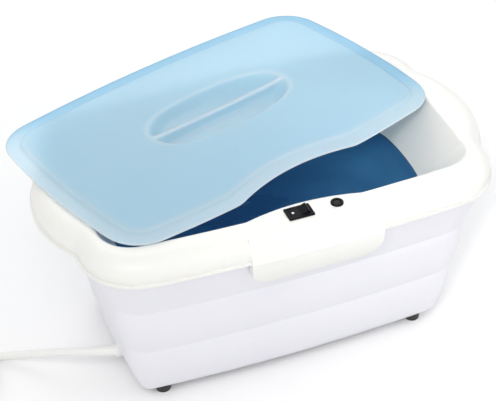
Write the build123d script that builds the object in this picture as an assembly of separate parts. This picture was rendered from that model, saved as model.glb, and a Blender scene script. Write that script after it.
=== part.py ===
from build123d import *
import math
import os

# ---------------------------------------------------------------------------
# Heated wax bath for hands and feet.
# Millimetres, +Z up. Origin: centre of the footprint on the resting surface.
# X runs along the length of the bath, the control panel faces -Y.
# ---------------------------------------------------------------------------

# Overall form ---------------------------------------------------------------
rim_half_length = 182.5
rim_half_width = 122.5
rim_corner = 50.0
rim_side_bow = 5.5
rim_end_bow = 3.0
rim_top = 180.0
lip_bottom = 159.0
lip_height = 3.0
lip_step = 1.5
shoulder = 14.0
shell_wall = 2.5

# Handle lobes on the two ends of the rim ------------------------------------
lobe_half_length = 56.0
lobe_reach = 16.0
lobe_neck = 12.0

# Opening and the sloping inner wall -----------------------------------------
opening_half_length = 163.0
opening_half_width = 93.5
opening_corner = 28.0
opening_side_bow = 5.0
opening_end_bow = 2.0
throat_z = 130.0
throat_half_length = 138.0
throat_half_width = 72.0
throat_corner = 44.0
throat_side_bow = 4.0
throat_end_bow = 2.0
throat_flange = 12.0
opening_round = 4.0

# Control panel --------------------------------------------------------------
panel_x = 2.9
panel_half_width = 57.0
panel_rise = 9.2
panel_depth = 30.0
panel_edge_y = -115.5
apron_lip_y = -123.6
apron_mid_y = -121.5
apron_foot_y = -114.5
apron_foot_z = 131.0
apron_corner = 22.0

# Tiered housing: inward setback of each ridge from the rim's lip, and its height
housing_top = 164.5
skirt_clearance = 0.4
band_setback = 20.7
band_z = 114.0
tier_setback = 29.8
tier_z = 64.0
heel_setback = 38.6
heel_z = 17.0
base_setback = 46.6
base_z = 7.0

# Floor, base plate and feet -------------------------------------------------
floor_wall = 2.5
plate_half_length = 112.0
plate_half_width = 56.0
plate_corner = 8.0
plate_thickness = 2.0
plate_gap = 0.3
ledge = 6.0
foot_x = 119.0
foot_y = 66.5
foot_top_radius = 7.5
foot_base_radius = 6.5
screw_radius = 1.6
screw_head_radius = 3.2
screw_head_height = 1.8

# Tank, seal and heater ------------------------------------------------------
tank_wall = 1.2
tank_flange = 9.0
seal_height = 1.6
seal_reach = 5.5
tank_floor_z = 38.0
tank_half_length = 126.0
tank_half_width = 61.0
tank_corner = 34.0
tank_side_bow = 3.0
tank_end_bow = 2.0
tank_bottom_radius = 15.0
heater_length = 140.0
heater_width = 84.0
heater_thickness = 2.2
clamp_thickness = 1.2
clamp_margin = 5.0
stud_radius = 2.0
stud_drop = 10.0

# Rocker switch and lamp -----------------------------------------------------
switch_x = -7.5
control_y = -98.8
switch_length = 22.0
switch_width = 15.0
switch_flange = 1.6
switch_body_length = 19.0
switch_body_width = 12.8
switch_body_depth = 16.0
rocker_length = 16.4
rocker_width = 10.0
rocker_gap = 0.35
rocker_tilt = 11.0
pivot_radius = 1.0
pivot_clearance = 0.05
lamp_x = 25.4
lamp_radius = 5.3
lamp_hole_radius = 4.2
lamp_depth = 18.0

# Lid ------------------------------------------------------------------------
lid_half_length = 172.5
lid_half_width = 109.5
lid_corner = 36.0
lid_side_bow = 6.7
lid_end_bow = 4.5
lid_wall = 2.2
lid_band = 12.0
lid_dome = 11.5
lid_x = -18.1
lid_y = 48.3
lid_yaw = 18.1
lid_gap = 0.3
lid_step = 3.6
crown_margin = 11.0
notch_half_width = 65.0
notch_corner = 8.0
notch_depth = 13.0
grip_half_length = 67.0
grip_half_width = 34.0
grip_depth = 8.5
grip_bar = 5.0

# Power cord -----------------------------------------------------------------
cord_radius = 3.5
cord_exit_y = -29.0
cord_exit_z = 22.0
gland_radius = 5.4
gland_flange_radius = 6.4
gland_flange_reach = 3.4
gland_inside = 9.0
gland_nut = 3.0
boot_length = 20.0
boot_base_radius = 5.0
boot_tip_radius = 4.2
coil_outer_turn = 42.0
coil_inner_turn = 35.0
coil_rows = 4
coil_tail_row = 1
coil_channel_gap = 1.2
coil_lap = 2.0
plug_length = 34.0
plug_width = 26.0
plug_boot_length = 22.0
plug_tail = 30.0
blade_length = 17.0
blade_spacing = 12.7

# The collar of the housing stands inside the bezel's skirt
collar = lip_step + shell_wall + skirt_clearance


def arc_face_points(centre, radius, start, end):
    """Start, middle and end point of one arc, angles in degrees."""
    angles = (start, (start + end) / 2, end)
    return [
        (centre[0] + radius * math.cos(math.radians(a)), centre[1] + radius * math.sin(math.radians(a)))
        for a in angles
    ]


class Outline:
    """A bowed rectangle with round corners: eight arcs, each tangent to the next."""

    def __init__(self, half_length, half_width, corner, side_bow, end_bow):
        self.half_length = half_length
        self.half_width = half_width
        self.corner = corner
        core_x = half_length - corner
        core_y = half_width - corner
        side = (core_x**2 + side_bow**2) / (2 * side_bow)
        end = (core_y**2 + end_bow**2) / (2 * end_bow)
        side_centre = (0.0, side - core_y)
        end_centre = (core_x - end, 0.0)
        gap_x = end_centre[0] - side_centre[0]
        gap_y = end_centre[1] - side_centre[1]
        gap = math.hypot(gap_x, gap_y)
        along = (gap**2 + side**2 - end**2) / (2 * gap)
        across = math.sqrt(side**2 - along**2)
        corner_x = side_centre[0] + (gap_x * along - gap_y * across) / gap
        corner_y = side_centre[1] + (gap_y * along + gap_x * across) / gap
        if corner_x < 0:
            corner_x = side_centre[0] + (gap_x * along + gap_y * across) / gap
            corner_y = side_centre[1] + (gap_y * along - gap_x * across) / gap
        side_turn = math.degrees(math.atan2(corner_x, side_centre[1] - corner_y))
        end_turn = math.degrees(math.atan2(-corner_y, corner_x - end_centre[0]))
        self.arcs = []
        for flip in (0, 180):
            sign = -1 if flip else 1
            self.arcs.append(((0.0, sign * side_centre[1]), side + corner, flip - 90 - side_turn, flip - 90 + side_turn))
            self.arcs.append(((sign * corner_x, sign * corner_y), corner, flip - 90 + side_turn, flip - end_turn))
            self.arcs.append(((sign * end_centre[0], 0.0), end + corner, flip - end_turn, flip + end_turn))
            self.arcs.append(((sign * corner_x, -sign * corner_y), corner, flip + end_turn, flip + 90 - side_turn))

    def face(self, setback=0.0, z=0.0):
        """The flat face inside the outline, moved in by setback, at height z."""
        edges = []
        for centre, radius, start, end in self.arcs:
            points = arc_face_points(centre, radius - setback, start, end)
            edges.append(ThreePointArc(*[(x, y, z) for x, y in points]))
        return make_face(edges)

    def prism(self, setback, low, high):
        """A straight block on the outline between two heights."""
        return extrude(self.face(setback, low), amount=high - low, dir=(0, 0, 1))

    def ring(self, profile):
        """A wall that follows the outline.

        profile is a closed list of (setback, z) points; a point given as
        (setback, z, setback_mid, z_mid) is reached by an arc through the middle point.
        """
        solid = None
        for centre, radius, start, end in self.arcs:
            cos, sin = math.cos(math.radians(start)), math.sin(math.radians(start))

            def place(setback, z):
                reach = radius - setback
                return (centre[0] + reach * cos, centre[1] + reach * sin, z)

            edges = []
            before = profile[-1]
            for point in profile:
                begin, finish = place(before[0], before[1]), place(point[0], point[1])
                if len(point) == 4:
                    edges.append(ThreePointArc(begin, place(point[2], point[3]), finish))
                else:
                    edges.append(Line(begin, finish))
                before = point
            axis = Axis((centre[0], centre[1], 0), (0, 0, 1))
            piece = revolve(make_face(edges), axis=axis, revolution_arc=end - start)
            solid = piece if solid is None else solid + piece
        return solid


rim = Outline(rim_half_length, rim_half_width, rim_corner, rim_side_bow, rim_end_bow)
opening = Outline(opening_half_length, opening_half_width, opening_corner, opening_side_bow, opening_end_bow)
throat = Outline(throat_half_length, throat_half_width, throat_corner, throat_side_bow, throat_end_bow)
tank_base = Outline(tank_half_length, tank_half_width, tank_corner, tank_side_bow, tank_end_bow)
lid_outline = Outline(lid_half_length, lid_half_width, lid_corner, lid_side_bow, lid_end_bow)


def cylinder(x, y, low, high, radius):
    """An upright cylinder between two heights."""
    return Pos(x, y, (low + high) / 2) * Cylinder(radius, high - low)


def cone(x, y, low, high, low_radius, high_radius):
    """An upright tapered cylinder between two heights."""
    return Pos(x, y, (low + high) / 2) * Cone(low_radius, high_radius, high - low)


def block(x0, x1, y0, y1, z0, z1):
    """A box between two corners."""
    return Pos((x0 + x1) / 2, (y0 + y1) / 2, (z0 + z1) / 2) * Box(x1 - x0, y1 - y0, z1 - z0)


def rounded_plate(half_length, half_width, corner, low, high):
    """A flat plate with round corners between two heights."""
    sketch = RectangleRounded(2 * half_length, 2 * half_width, corner)
    return extrude(Pos(0, 0, low) * sketch, amount=high - low)


def lobed_face(setback, z):
    """The rim's plan with a handle lobe on each end and rounded necks."""
    radius = (lobe_half_length**2 + lobe_reach**2) / (2 * lobe_reach)
    plan = rim.face(setback)
    for side in (-1, 1):
        centre = side * (rim_half_length + lobe_reach - radius)
        cap = Pos(centre, 0) * Circle(radius - setback)
        window = Pos(side * (rim_half_length + lobe_reach), 0) * Rectangle(6 * lobe_reach, 4 * lobe_half_length)
        plan = plan + (cap & window)
    necks = [
        v for v in plan.vertices()
        if abs(v.X) > rim_half_length - 2 * lobe_reach and abs(v.Y) < 1.15 * lobe_half_length
    ]
    plan = fillet(necks, lobe_neck + setback)
    return Pos(0, 0, z) * plan


def rounded_cap(setback, low, high, radius):
    """The rim's outer block with its top edge rounded."""
    body = extrude(lobed_face(setback, low), amount=high - low)
    edges = body.edges().group_by(Axis.Z)[-1]
    return fillet(edges, radius)


def arch_face(margin, z):
    """Plan of the control panel: an arched edge towards the tank, straight back."""
    half = panel_half_width + margin
    edge = -opening_half_width
    tip = edge + panel_rise + margin
    back = -rim_half_width
    arch = ThreePointArc((panel_x - half, edge, z), (panel_x, tip, z), (panel_x + half, edge, z))
    rest = Polyline((panel_x + half, edge, z), (panel_x + half, back, z), (panel_x - half, back, z), (panel_x - half, edge, z))
    return make_face([arch, *rest.edges()])


def wall_setback(z):
    """Setback of the housing's outer face at a height between its ridges."""
    if z > band_z:
        share = (lip_bottom - z) / (lip_bottom - band_z)
        return collar + share * (band_setback - collar)
    top, bottom, z_top, z_bottom = (band_setback, tier_setback, band_z, tier_z)
    if z < tier_z:
        top, bottom, z_top, z_bottom = (tier_setback, heel_setback, tier_z, heel_z)
    width, height = bottom - top, z_top - z_bottom
    radius = (width**2 + height**2) / (2 * width)
    return top + radius - math.sqrt(radius**2 - (z_top - z) ** 2)


def housing_profile(inset):
    """Tiered wall line from top to base, moved in by inset; arcs bulge outwards."""
    band_mid = (band_z + tier_z) / 2
    tier_mid = (tier_z + heel_z) / 2
    heel_mid = (0.27 * heel_setback + 0.73 * base_setback - 2.0, 0.72 * base_z + 0.28 * heel_z)
    return [
        (collar + inset, housing_top),
        (collar + inset, lip_bottom),
        (band_setback + inset, band_z),
        (tier_setback + inset, tier_z, wall_setback(band_mid) + inset, band_mid),
        (heel_setback + inset, heel_z, wall_setback(tier_mid) + inset, tier_mid),
        (base_setback + inset, base_z, heel_mid[0] + inset, heel_mid[1]),
    ]


def closed_wall(outer, inner):
    """A closed wall section: down the outer line and back up the inner one."""
    back = [inner[-1][:2]]
    for index in range(len(inner) - 1, 0, -1):
        back.append(inner[index - 1][:2] + inner[index][2:])
    return outer + back


def screw(x, y, seat, tip):
    """A pan-head screw seen from below: head under the seat, shank up to the tip."""
    head = cylinder(x, y, seat - screw_head_height, seat, screw_head_radius)
    recess = block(x - 1.8, x + 1.8, y - 0.4, y + 0.4, seat - screw_head_height, seat - screw_head_height + 0.7)
    cross = block(x - 0.4, x + 0.4, y - 1.8, y + 1.8, seat - screw_head_height, seat - screw_head_height + 0.7)
    return head - recess - cross + cylinder(x, y, seat, tip, screw_radius)


def group(solids):
    """Separate identical solids that share one node."""
    return Compound(children=[s.solid() if not isinstance(s, Solid) else s for s in solids])


# Fastening points ------------------------------------------------------------
lug_low = 147.0
lug_high = 150.5
post_radius = 4.2
post_points = [(x, y) for x in (-100.0, 100.0) for y in (-97.0, 97.0)] + [(-160.5, 0.0), (160.5, 0.0)]
foot_points = [(x, y) for x in (-foot_x, foot_x) for y in (-foot_y, foot_y)]
plate_points = [(x, y) for x in (-100.0, 0.0, 100.0) for y in (-52.4, 52.4)] + [(-108.4, 0.0), (108.4, 0.0)]
seal_low = throat_z - seal_height
tank_top = seal_low
tank_points = [(x, y) for x in (-75.0, 75.0) for y in (-80.5, 80.5)] + [(-145.5, 0.0), (145.5, 0.0)]
tank_screw_seat = tank_top - tank_wall
stud_points = [(x, y) for x in (-58.0, 58.0) for y in (-33.0, 33.0)]
tank_underside = tank_floor_z - tank_wall


def make_housing():
    """Tiered outer shell with its floor, lugs for the bezel and bosses for the feet."""
    inset = shell_wall
    outer = housing_profile(0.0)
    inner = housing_profile(inset)
    inner[-1] = (base_setback + inset, base_z + floor_wall) + inner[-1][2:]
    shell = rim.ring(closed_wall(outer, inner))
    floor = rim.prism(base_setback - 0.6, base_z, base_z + floor_wall)
    ledge_top = base_z + plate_thickness + floor_wall
    rim_half_l = plate_half_length + ledge
    rim_half_w = plate_half_width + ledge
    floor = floor + rounded_plate(rim_half_l, rim_half_w, plate_corner + ledge, base_z, ledge_top)
    floor = floor - rounded_plate(
        plate_half_length + plate_gap, plate_half_width + plate_gap, plate_corner, base_z, base_z + plate_thickness
    )
    floor = floor - rounded_plate(plate_half_length - ledge - 1, plate_half_width - ledge - 1, plate_corner, base_z, ledge_top)
    body = shell + floor
    for x, y in foot_points:
        body = body + cylinder(x, y, base_z + 1, base_z + 9, 4.0)
        body = body - cylinder(x, y, base_z, base_z + 10, screw_radius)
    for x, y in plate_points:
        body = body - cylinder(x, y, base_z, ledge_top, screw_radius)
    for x, y in post_points:
        body = body + (make_lug(x, y) & rim.prism(wall_setback(lug_low) + 1.0, lug_low, lug_high))
        body = body - cylinder(x, y, lug_low, lug_high, screw_radius + 0.2)
    wall_x = -rim_half_length + wall_setback(cord_exit_z)
    hole = Pos(wall_x, cord_exit_y, cord_exit_z) * Rot(0, 90, 0) * Cylinder(gland_radius, 6 * shell_wall)
    return body - hole


def make_lug(x, y):
    """A shelf that reaches in from the wall to carry one bezel post."""
    reach = 9.0
    half = 7.0
    if abs(y) < 1:
        outer_x = math.copysign(rim_half_length, x)
        inner_x = x - math.copysign(reach, x)
        return block(min(inner_x, outer_x), max(inner_x, outer_x), -half, half, lug_low, lug_high)
    outer_y = math.copysign(rim_half_width + rim_side_bow, y)
    inner_y = y - math.copysign(reach, y)
    return block(x - half, x + half, min(inner_y, outer_y), max(inner_y, outer_y), lug_low, lug_high)


def make_bezel():
    """Rounded rim with handle lobes, sloping inner wall, control panel and apron."""
    face_low = lip_bottom + lip_height
    outer = rounded_cap(lip_step, face_low, rim_top, shoulder)
    lip = extrude(lobed_face(0.0, lip_bottom), amount=lip_height)
    inner_setback = lip_step + shell_wall
    hollow = rounded_cap(inner_setback, lip_bottom, rim_top - shell_wall, shoulder - shell_wall)
    cup = loft([throat.face(-shell_wall, throat_z), opening.face(-shell_wall, rim_top)])
    panel = extrude(arch_face(0.0, rim_top - panel_depth), amount=panel_depth)
    panel_room = extrude(arch_face(-shell_wall, lip_bottom), amount=rim_top - shell_wall - lip_bottom)
    mouth = loft([throat.face(0.0, throat_z), opening.face(0.0, rim_top)])
    flange = throat.prism(-throat_flange, throat_z, throat_z + shell_wall)
    skin = outer + lip - (hollow - cup)
    skin = skin + cup + flange
    skin = skin - (mouth - panel)
    skin = skin - (panel_room & hollow)
    brink = [
        e for e in skin.edges().filter_by_position(Axis.Z, rim_top - 0.01, rim_top + 0.01)
        if abs(e.center().X) < opening_half_length + 1 and abs(e.center().Y) < opening_half_width + 1
    ]
    skin = fillet(brink, opening_round)
    skin = skin - apron_relief() + make_apron()
    for x, y in post_points:
        post = cylinder(x, y, lug_high, rim_top - shell_wall, post_radius)
        skin = skin + (post - mouth) - cylinder(x, y, lug_high, lug_high + 12, screw_radius)
    for x, y in tank_points:
        boss = cylinder(x, y, throat_z, throat_z + 9, 3.6)
        skin = skin + (boss - mouth) - cylinder(x, y, throat_z, throat_z + 8, screw_radius)
    switch = block(
        panel_x + switch_x - switch_body_length / 2 - 0.1, panel_x + switch_x + switch_body_length / 2 + 0.1,
        control_y - switch_body_width / 2 - 0.1, control_y + switch_body_width / 2 + 0.1,
        rim_top - 2 * shell_wall, rim_top,
    )
    lamp = cylinder(panel_x + lamp_x, control_y, rim_top - 2 * shell_wall, rim_top, lamp_hole_radius + 0.1)
    return skin - switch - lamp


def apron_line(back):
    """The apron's side view, as points from the panel's edge down to its foot."""
    return [
        (panel_edge_y + back, rim_top),
        (apron_lip_y + back, lip_bottom),
        (apron_foot_y + back, apron_foot_z, apron_mid_y + back, (lip_bottom + apron_foot_z) / 2),
    ]


def side_prism(points, half_width):
    """Extrude a closed side view (y, z) across the panel's width."""
    x = panel_x - half_width
    edges = []
    before = points[-1]
    for point in points:
        begin, finish = (x, before[0], before[1]), (x, point[0], point[1])
        if len(point) == 4:
            edges.append(ThreePointArc(begin, (x, point[2], point[3]), finish))
        else:
            edges.append(Line(begin, finish))
        before = point
    return extrude(make_face(edges), amount=2 * half_width, dir=(1, 0, 0))


def apron_relief():
    """What the flat apron takes off the rim's rounded shoulder."""
    beyond = -rim_half_width - rim_side_bow - 5
    points = [
        (panel_edge_y, rim_top + 1),
        (panel_edge_y, rim_top),
        (apron_lip_y, lip_bottom),
        (apron_lip_y, lip_bottom - 1),
        (beyond, lip_bottom - 1),
        (beyond, rim_top + 1),
    ]
    return side_prism(points, panel_half_width)


def apron_window(inset):
    """Front view of the apron: straight sides and two large lower corners."""
    half = panel_half_width - inset
    low = apron_foot_z + inset
    high = rim_top + 5
    middle = (low + high) / 2
    sketch = Pos(0, 0) * Rectangle(2 * half, high - low)
    corners = sketch.vertices().group_by(Axis.Y)[0]
    sketch = fillet(corners, apron_corner - inset)
    front = Plane(origin=(panel_x, -rim_half_width - 20, middle), x_dir=(1, 0, 0), z_dir=(0, -1, 0))
    return extrude(front * sketch, amount=-60)


def make_apron():
    """Shield-shaped front plate below the panel, with returns towards the housing."""
    outer = apron_line(0.0)
    inner = apron_line(shell_wall)

    def house_y(z):
        return -rim_half_width + wall_setback(z) - 0.8

    back = [(house_y(apron_foot_z), apron_foot_z), (house_y(lip_bottom), lip_bottom)]
    shape = side_prism(outer + back + [(panel_edge_y + shell_wall, rim_top)], panel_half_width)
    shape = shape & apron_window(0.0)
    room = [
        (inner[0][0], rim_top - shell_wall),
        (inner[1][0], inner[1][1]),
        (inner[2][0], inner[2][1], inner[2][2], inner[2][3]),
        (inner[2][0] + 30, apron_foot_z),
        (inner[0][0] + 30, rim_top - shell_wall),
    ]
    return shape - (side_prism(room, panel_half_width) & apron_window(shell_wall))


def make_base_plate():
    """Service cover let into the floor from below."""
    plate = rounded_plate(plate_half_length, plate_half_width, plate_corner - plate_gap, base_z, base_z + plate_thickness)
    for x, y in plate_points:
        plate = plate - cylinder(x, y, base_z, base_z + plate_thickness, screw_radius)
    for index in range(-3, 4):
        slot = Pos(index * 12.0, 0, base_z + plate_thickness / 2) * Box(4.0, 44.0, plate_thickness)
        plate = plate - slot
    return plate


def make_foot(x, y):
    """Tapered rubber foot with a counterbore for its screw."""
    body = cone(x, y, 0, base_z, foot_base_radius, foot_top_radius)
    return body - cylinder(x, y, 0, 3.6, screw_head_radius + 0.3) - cylinder(x, y, 0, base_z, screw_radius)


def make_tank():
    """Deep-drawn aluminium pan with a flange and four heater studs."""
    outer = loft([tank_base.face(-tank_wall, tank_underside), throat.face(-tank_wall, tank_top)])
    outer = fillet(outer.edges().group_by(Axis.Z)[0], tank_bottom_radius + tank_wall)
    inner = loft([tank_base.face(0.0, tank_floor_z), throat.face(0.0, tank_top)])
    inner = fillet(inner.edges().group_by(Axis.Z)[0], tank_bottom_radius)
    flange = throat.prism(-tank_flange, tank_screw_seat, tank_top)
    tank = outer + flange - inner
    for x, y in tank_points:
        pad = cylinder(x, y, tank_screw_seat, tank_top, 5.0)
        tank = tank + (pad - throat.prism(-2.0, tank_screw_seat, tank_top)) - cylinder(x, y, tank_screw_seat, tank_top, screw_radius)
    for x, y in stud_points:
        tank = tank + cylinder(x, y, tank_underside - stud_drop, tank_underside, stud_radius)
    return tank


def make_seal():
    """Flat silicone ring between the tank's flange and the bezel."""
    return throat.prism(-seal_reach, seal_low, throat_z) - throat.prism(-0.6, seal_low, throat_z)


heater_low = tank_underside - heater_thickness
clamp_low = heater_low - clamp_thickness


def make_heater():
    """Flat heating pad pressed against the tank's underside."""
    pad = rounded_plate(heater_length / 2, heater_width / 2, 8.0, heater_low, tank_underside)
    for x, y in stud_points:
        pad = pad - cylinder(x, y, heater_low, tank_underside, stud_radius + 0.5)
    return pad


def make_clamp():
    """Steel pressure plate that holds the heating pad up."""
    plate = rounded_plate(
        heater_length / 2 - clamp_margin, heater_width / 2 - clamp_margin / 2, 6.0, clamp_low, heater_low
    )
    for x, y in stud_points:
        plate = plate - cylinder(x, y, clamp_low, heater_low, stud_radius + 0.3)
    return plate


def make_clamp_nuts():
    """One hexagonal nut on each heater stud."""
    nuts = []
    for x, y in stud_points:
        nut = extrude(Pos(x, y, clamp_low - 3.2) * RegularPolygon(4.0, 6), amount=3.2)
        nuts.append(nut - cylinder(x, y, clamp_low - 3.2, clamp_low, stud_radius))
    return group(nuts)


thermostat_x = -90.0
thermostat_radius = 8.0
thermostat_height = 7.0
bracket_thickness = 1.0
bracket_tab = 5.0
bracket_half_width = 1.4
fuse_radius = 2.2
fuse_y = 28.0


def make_thermostat():
    """Snap-disc thermostat held against the tank's underside."""
    low = tank_underside - thermostat_height
    body = cylinder(thermostat_x, 0, low, tank_underside, thermostat_radius)
    for y in (-5.0, 5.0):
        body = body + block(thermostat_x - 0.4, thermostat_x + 0.4, y - 2.4, y + 2.4, low - 8, low)
    return body


def make_fuse():
    """Thermal cut-off: a small capsule with its two leads."""
    place = Pos(thermostat_x, fuse_y, tank_underside - fuse_radius) * Rot(90, 0, 0)
    return place * Cylinder(fuse_radius, 12) + place * Cylinder(0.5, 26)


def make_bracket():
    """Sprung strap under the thermostat, its two tabs welded to the tank."""
    strap_top = tank_underside - thermostat_height
    low = strap_top - bracket_thickness
    inside = thermostat_radius + 0.6
    outside = inside + bracket_thickness
    half = bracket_half_width
    strap = block(thermostat_x - outside, thermostat_x + outside, -half, half, low, strap_top)
    for side in (-1, 1):
        ends = sorted((thermostat_x + side * inside, thermostat_x + side * outside))
        tab = sorted((thermostat_x + side * inside, thermostat_x + side * (outside + bracket_tab)))
        strap = strap + block(*ends, -half, half, low, tank_underside)
        strap = strap + block(*tab, -half, half, tank_underside - bracket_thickness, tank_underside)
    return strap


blanket_low = 44.0
blanket_high = 118.0
blanket_gap = 1.0
blanket_thickness = 7.0


def tank_section(setback, z):
    """Plan of the tank's outer wall at a height, moved in by setback."""
    share = (z - tank_underside) / (tank_top - tank_underside)
    sizes = zip(
        (tank_half_length, tank_half_width, tank_corner, tank_side_bow, tank_end_bow),
        (throat_half_length, throat_half_width, throat_corner, throat_side_bow, throat_end_bow),
    )
    return Outline(*[low + share * (high - low) for low, high in sizes]).face(setback - tank_wall, z)


def make_blanket():
    """Insulation wrapped round the tank's walls."""
    outside = -blanket_gap - blanket_thickness
    outer = loft([tank_section(outside, blanket_low), tank_section(outside, blanket_high)])
    inner = loft([tank_section(-blanket_gap, blanket_low), tank_section(-blanket_gap, blanket_high)])
    return outer - inner


switch_centre = (panel_x + switch_x, control_y)
rocker_pivot_z = rim_top + 0.2
pin_length = rocker_width + 2 * rocker_gap + 1.2


def make_switch_frame():
    """Snap-in switch body with its flange and the well for the rocker."""
    x, y = switch_centre
    flange = extrude(
        Pos(x, y, rim_top) * RectangleRounded(switch_length, switch_width, 1.0), amount=switch_flange
    )
    flange = chamfer(flange.edges().group_by(Axis.Z)[-1], 0.4)
    low = rim_top - switch_body_depth
    half_l, half_w = switch_body_length / 2, switch_body_width / 2
    body = flange + block(x - half_l, x + half_l, y - half_w, y + half_w, low, rim_top)
    well_l = rocker_length / 2 + rocker_gap
    well_w = rocker_width / 2 + rocker_gap
    body = body - block(x - well_l, x + well_l, y - well_w, y + well_w, rim_top - 6.0, rim_top + switch_flange)
    for side in (-1, 1):
        barb = block(
            x - 3, x + 3, *sorted((y + side * half_w, y + side * (half_w + 0.8))),
            rim_top - shell_wall - 2.2, rim_top - shell_wall,
        )
        body = body + barb
    hole = Cylinder(pivot_radius + pivot_clearance, pin_length + 4 * pivot_clearance)
    return body - Pos(x, y, rocker_pivot_z) * Rot(90, 0, 0) * hole


def make_rocker():
    """Rocker paddle, its right half raised, bored for the pivot pin."""
    x, y = switch_centre
    half = rocker_length / 2
    rise = math.tan(math.radians(rocker_tilt))
    z = rocker_pivot_z
    points = [
        (x - half, z + 0.2),
        (x - half + 0.9, z - 2.8),
        (x - 3.2, z - 3.6),
        (x + 3.2, z - 3.6),
        (x + half - 1.2, z - 1.8 + half * rise * 0.4),
        (x + half - 0.7, z + 1.4 + half * rise * 1.3),
        (x + half - 1.7, z + 2.6 + half * rise * 1.3),
        (x, z + 1.5),
        (x - half + 0.8, z + 0.9),
    ]
    side = make_face(Polyline(*[(px, y + rocker_width / 2, pz) for px, pz in points], close=True))
    paddle = extrude(side, amount=rocker_width, dir=(0, -1, 0))
    return paddle - Pos(x, y, z) * Rot(90, 0, 0) * Cylinder(pivot_radius, rocker_width)


def make_rocker_pin():
    """Pivot pin across the switch frame."""
    x, y = switch_centre
    return Pos(x, y, rocker_pivot_z) * Rot(90, 0, 0) * Cylinder(pivot_radius, pin_length)


def make_terminals():
    """Three blade terminals under the switch."""
    x, y = switch_centre
    low = rim_top - switch_body_depth
    return group([block(x + dx - 0.4, x + dx + 0.4, y - 2.4, y + 2.4, low - 7, low) for dx in (-6.0, 0.0, 6.0)])


def make_lamp_body():
    """Indicator lamp: flange ring, barrel and the well for its lens."""
    x, y = panel_x + lamp_x, control_y
    ring = cylinder(x, y, rim_top, rim_top + 1.6, lamp_radius)
    ring = chamfer(ring.edges().group_by(Axis.Z)[-1], 0.5)
    barrel = cylinder(x, y, rim_top - lamp_depth, rim_top, lamp_hole_radius)
    well = cylinder(x, y, rim_top - 6.0, rim_top + 1.6, lamp_hole_radius - 0.9)
    return ring + barrel - well


def make_lamp_lens():
    """Tinted lens, slightly domed, sunk in the lamp's ring."""
    x, y = panel_x + lamp_x, control_y
    radius = lamp_hole_radius - 0.9
    lens = cylinder(x, y, rim_top - 2.0, rim_top + 1.0, radius)
    return fillet(lens.edges().group_by(Axis.Z)[-1], 0.8)


def make_lamp_bulb():
    """Neon bulb behind the lens."""
    x, y = panel_x + lamp_x, control_y
    return cylinder(x, y, rim_top - 6.0, rim_top - 2.3, 1.6)


def make_lamp_nut():
    """Push-on ring that holds the lamp from inside."""
    x, y = panel_x + lamp_x, control_y
    top = rim_top - shell_wall
    return cylinder(x, y, top - 2.0, top, lamp_hole_radius + 2.2) - cylinder(x, y, top - 2.0, top, lamp_hole_radius)


terminal_x = -60.0
terminal_y = 0.0
terminal_low = base_z + plate_thickness


def make_terminal_block():
    """Three-way screw terminal strip on the base plate."""
    strip = block(terminal_x - 9, terminal_x + 9, terminal_y - 14, terminal_y + 14, terminal_low, terminal_low + 9)
    for index in (-1, 0, 1):
        strip = strip - cylinder(terminal_x, terminal_y + index * 9, terminal_low + 3, terminal_low + 9, 2.4)
    return strip


def make_terminal_screws():
    """Clamp screws of the terminal strip."""
    return group([
        cylinder(terminal_x, terminal_y + index * 9, terminal_low + 3, terminal_low + 7.5, 2.4) for index in (-1, 0, 1)
    ])


def bent_tube(points, radius, radii):
    """A tube of straight runs joined by tangent arcs."""
    path = FilletPolyline(*points, radius=radii)
    start = Plane(origin=path @ 0, z_dir=path % 0)
    return sweep(start * Circle(radius), path=path)


def run_radii(points):
    """Bend radius at each corner: 0.45 of the shorter run over the half-turn tangent."""
    radii = []
    vectors = [Vector(*p) for p in points]
    for before, here, after in zip(vectors, vectors[1:], vectors[2:]):
        turn = (here - before).get_angle(after - here)
        shorter = min((here - before).length, (after - here).length)
        radii.append(0.45 * shorter / math.tan(math.radians(turn) / 2))
    return radii


def lid_place(shape):
    """Put a shape drawn about the lid's own centre where the lid rests."""
    return Pos(lid_x, lid_y, rim_top + lid_gap) * Rot(0, 0, lid_yaw) * shape


def notch_tool(margin, low, high):
    """The arched bite in the lid's front edge that clears the control panel."""
    edge = -lid_half_width + margin
    half = notch_half_width + margin
    far = -lid_half_width - 40.0
    arch = ThreePointArc((-half, edge, low), (0, edge + notch_depth, low), (half, edge, low))
    rest = Polyline((half, edge, low), (half, far, low), (-half, far, low), (-half, edge, low))
    return extrude(make_face([arch, *rest.edges()]), amount=high - low, dir=(0, 0, 1))


def grip_face(margin, z):
    """Pointed oval of the lid's grip recess."""
    half_l = grip_half_length + margin
    half_w = grip_half_width + margin
    upper = ThreePointArc((-half_l, 0, z), (0, half_w, z), (half_l, 0, z))
    lower = ThreePointArc((half_l, 0, z), (0, -half_w, z), (-half_l, 0, z))
    return make_face([upper, lower])


def dome_block(inset, drop):
    """The lid's raised middle: a soft step and a shallow crown."""
    low = lid_wall - drop
    step = low + lid_step
    crown = low + lid_dome
    foot = lid_outline.face(lid_band + inset, low)
    brow = lid_outline.face(lid_band + lid_step + inset, step)
    table = Outline(grip_half_length + crown_margin, grip_half_width + crown_margin, 30.0, 3.0, 2.0)
    dome = loft([foot, brow]) + loft([brow, table.face(inset, crown)])
    return dome - notch_tool(lid_band - lid_step + inset, low, crown)


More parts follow.
